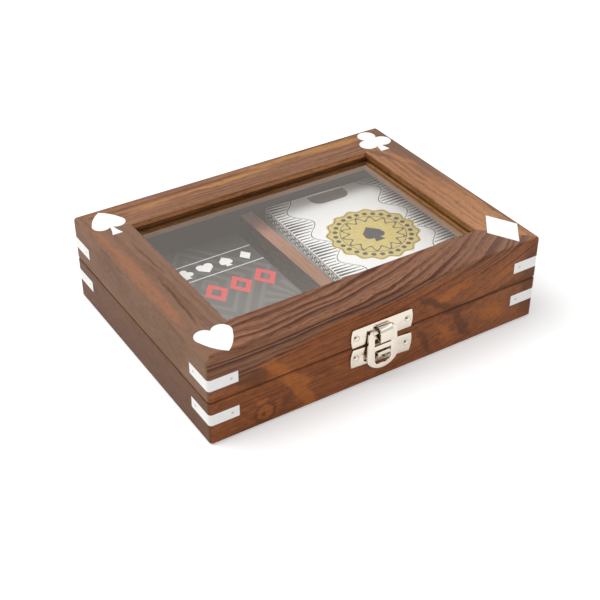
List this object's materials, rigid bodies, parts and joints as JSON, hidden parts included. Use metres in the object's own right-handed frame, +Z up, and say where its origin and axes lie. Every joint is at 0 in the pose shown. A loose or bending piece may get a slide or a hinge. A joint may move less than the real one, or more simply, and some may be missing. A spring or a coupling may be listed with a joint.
{
  "type": "playing card box",
  "caption": "Hardwood box with a hinged, glazed lid and a hasp clasp, holding packs of playing cards side by side.",
  "frame": {"origin": "centre of the underside of the base, on the surface that the box stands on", "axes": "+X to the right along the front, +Y from the clasp towards the hinges, +Z up"},
  "size_m": [0.16, 0.1253, 0.04],
  "materials": {
    "walnut": "satin varnish",
    "interior_wood": "satin varnish",
    "white_inlay": "polished",
    "clasp_nickel": "bright nickel",
    "hinge_steel": "bright nickel",
    "clear_glass": "clear",
    "black_card_board": "satin board",
    "white_card_board": "satin board",
    "playing_card_stock": "smooth paper"
  },
  "bodies": {
    "base": {"base_front_wall": "walnut", "base_back_wall": "walnut", "base_left_wall": "walnut", "base_right_wall": "walnut", "base_bottom_panel": "interior_wood", "base_divider": "interior_wood", "base_inlay_front_left": "white_inlay", "base_inlay_front_right": "white_inlay", "base_inlay_back_left": "white_inlay", "base_inlay_back_right": "white_inlay", "catch_plate": "clasp_nickel", "catch_plate_pins": "clasp_nickel", "hinge_left_base_leaf": "hinge_steel", "hinge_right_base_leaf": "hinge_steel", "hinge_left_pin": "hinge_steel", "hinge_right_pin": "hinge_steel", "base_hinge_screws": "hinge_steel"},
    "lid": {"lid_front_rail": "walnut", "lid_back_rail": "walnut", "lid_left_rail": "walnut", "lid_right_rail": "walnut", "lid_glass": "clear_glass", "glass_slip_front": "walnut", "glass_slip_back": "walnut", "glass_slip_left": "walnut", "glass_slip_right": "walnut", "inlay_heart": "white_inlay", "inlay_spade": "white_inlay", "inlay_club": "white_inlay", "inlay_diamond": "white_inlay", "lid_inlay_front_left": "white_inlay", "lid_inlay_front_right": "white_inlay", "lid_inlay_back_left": "white_inlay", "lid_inlay_back_right": "white_inlay", "hasp_plate": "clasp_nickel", "hasp_plate_pins": "clasp_nickel", "hinge_left_lid_leaf": "hinge_steel", "hinge_right_lid_leaf": "hinge_steel", "lid_hinge_screws": "hinge_steel"},
    "hasp": {"hasp": "clasp_nickel"},
    "left_pack": {"left_card_box": "black_card_board", "left_cards": "playing_card_stock"},
    "right_pack": {"right_card_box": "white_card_board", "right_cards": "playing_card_stock"}
  },
  "joints": [
    {"name": "lid_hinge", "type": "hinge", "parent": "base", "child": "lid", "pos_m": [0, 0.05943, 0.02], "axis": [-1, 0, 0], "range_deg": [0, 100]},
    {"name": "hasp_hinge", "type": "hinge", "parent": "lid", "child": "hasp", "pos_m": [-0.0015, -0.06178, 0.0249], "axis": [-1, 0, 0], "range_deg": [-3, 160]},
    {"name": "left_pack_lift", "type": "slide", "parent": "base", "child": "left_pack", "axis": [0, 0, 1], "range_m": [0, 0.01]},
    {"name": "right_pack_lift", "type": "slide", "parent": "base", "child": "right_pack", "axis": [0, 0, 1], "range_m": [0, 0.005]}
  ]
}
